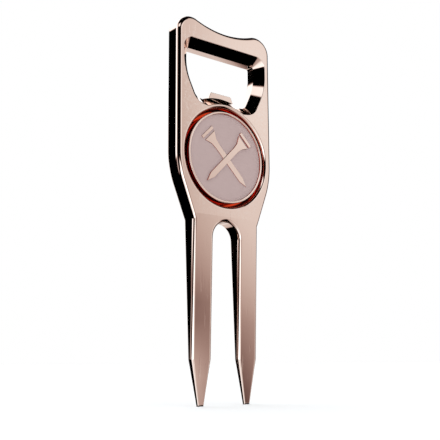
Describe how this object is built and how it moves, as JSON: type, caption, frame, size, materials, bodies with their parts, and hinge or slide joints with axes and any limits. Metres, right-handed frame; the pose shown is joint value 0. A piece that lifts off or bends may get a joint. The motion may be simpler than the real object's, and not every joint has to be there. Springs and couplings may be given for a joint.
{
  "type": "divot repair tool",
  "caption": "Flat metal divot repair tool with tapered prongs, a bottle-opener window with a tongue, and a lift-out magnetic ball marker in a round well.",
  "frame": {"origin": "on the plane of the prong tips, midway between the prongs and midway through the plate's thickness", "axes": "+Z along the tool from the prong tips to the opener end, -Y out of the front face that carries the ball marker, +X to the right as seen from the front"},
  "size_m": [0.0278, 0.0044, 0.0888],
  "materials": {
    "rose_gold_plate": "mirror-polished rose-gold plating on cast zinc alloy",
    "marker_metal": "polished rose-gold plating on struck iron",
    "enamel": "matte mauve-grey soft enamel",
    "magnet": "nickel plating",
    "epoxy": "cured clear epoxy"
  },
  "bodies": {
    "tool": {"tool_body": "rose_gold_plate", "marker_magnet": "magnet", "magnet_bond": "epoxy"},
    "marker": {"marker_disc": "marker_metal", "marker_enamel": "enamel"}
  },
  "joints": [
    {"name": "marker_lift", "type": "slide", "parent": "tool", "child": "marker", "axis": [0, -1, 0], "range_m": [0, 0.015]}
  ]
}
